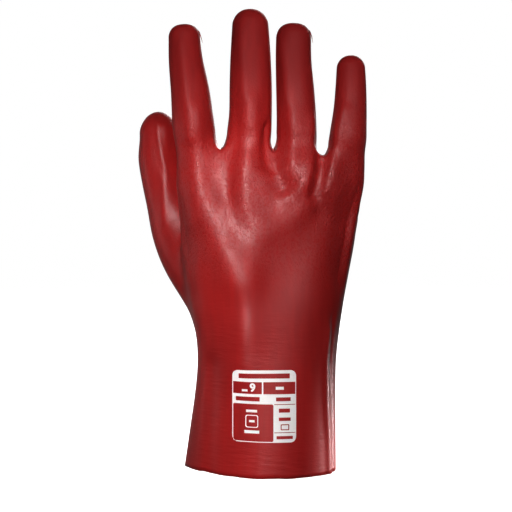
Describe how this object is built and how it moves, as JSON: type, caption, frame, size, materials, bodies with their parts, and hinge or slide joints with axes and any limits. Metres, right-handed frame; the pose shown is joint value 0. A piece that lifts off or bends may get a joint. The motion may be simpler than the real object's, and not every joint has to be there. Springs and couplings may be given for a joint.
{
  "type": "pvc coated work glove",
  "caption": "Right-hand work glove of knitted cotton dipped in red PVC, with a wide gauntlet cuff; it stands open on its cut hem and has a printed size panel on the cuff.",
  "frame": {"origin": "on the plane of the cut hem, under the middle of the glove's box", "axes": "+Z along the glove from the hem to the fingertips, -Y the way the back of the hand looks, -X towards the thumb's side"},
  "size_m": [0.133, 0.0804, 0.2645],
  "materials": {
    "pvc_coating": "satin",
    "print_ink": "matte"
  },
  "bodies": {
    "root": {"coated_shell": "pvc_coating", "size_panel": "print_ink"}
  },
  "joints": []
}
